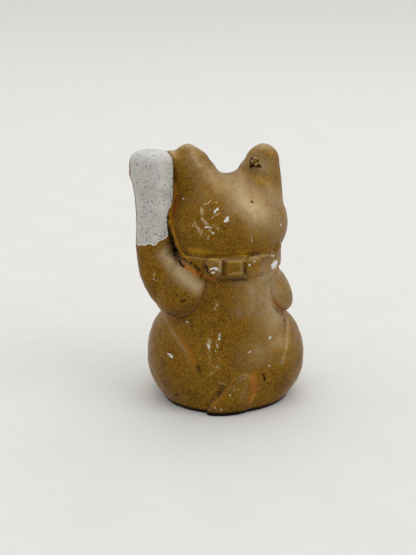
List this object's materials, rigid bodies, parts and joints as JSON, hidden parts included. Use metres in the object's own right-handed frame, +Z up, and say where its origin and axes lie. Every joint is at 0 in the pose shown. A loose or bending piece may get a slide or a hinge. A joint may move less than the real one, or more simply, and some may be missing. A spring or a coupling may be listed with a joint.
{
  "type": "lucky cat figurine",
  "caption": "Small hollow clay cat sitting upright with its left paw raised, with a collar, bow and bell, painted dull gold and worn.",
  "frame": {"origin": "on the ground, under the middle of the body", "axes": "+Z up, the cat looks along -Y, its own left and the raised paw are towards +X"},
  "size_m": [0.0461, 0.0374, 0.068],
  "materials": {
    "gilt_clay": "worn dull gold paint over fired clay",
    "bare_clay": "bare pale clay"
  },
  "bodies": {
    "root": {"front_shell": "gilt_clay", "back_shell": "gilt_clay", "collar_band": "gilt_clay", "bow_left_loop": "gilt_clay", "bow_knot": "gilt_clay", "bow_right_loop": "gilt_clay", "neck_bell": "gilt_clay", "raised_arm": "gilt_clay", "lowered_arm": "gilt_clay", "left_hind_paw": "gilt_clay", "right_hind_paw": "gilt_clay", "tail": "gilt_clay", "base_slab": "bare_clay", "seam_slip": "bare_clay"}
  },
  "joints": []
}
